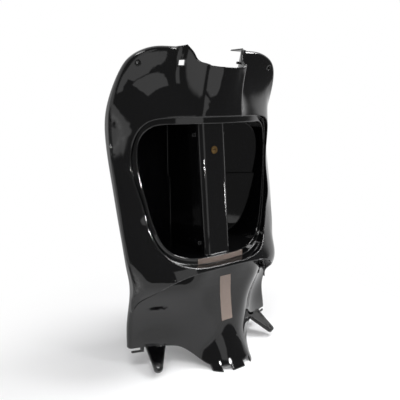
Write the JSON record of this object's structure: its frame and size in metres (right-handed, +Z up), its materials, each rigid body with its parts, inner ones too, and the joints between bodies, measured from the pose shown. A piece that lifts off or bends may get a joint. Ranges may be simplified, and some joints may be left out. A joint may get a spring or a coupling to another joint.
{
  "type": "scooter inner leg shield",
  "caption": "Moulded gloss-black inner leg shield for a scooter, with a steering fairing, an open glove compartment, a flared tunnel nose and lower fixing tongues.",
  "frame": {"origin": "middle of the part's footprint, at its lowest edge", "axes": "+X to the rider's right, +Y from the rider towards the front wheel, +Z up"},
  "size_m": [0.4028, 0.2164, 0.631],
  "materials": {
    "gloss_black_abs": "piano gloss black",
    "plated_bush": "yellow passivated",
    "blank_tape": "matt tan film, blank"
  },
  "bodies": {
    "root": {"leg_shield": "gloss_black_abs", "column_bush": "plated_bush", "lower_strip": "blank_tape", "upper_strip": "blank_tape"}
  },
  "joints": []
}
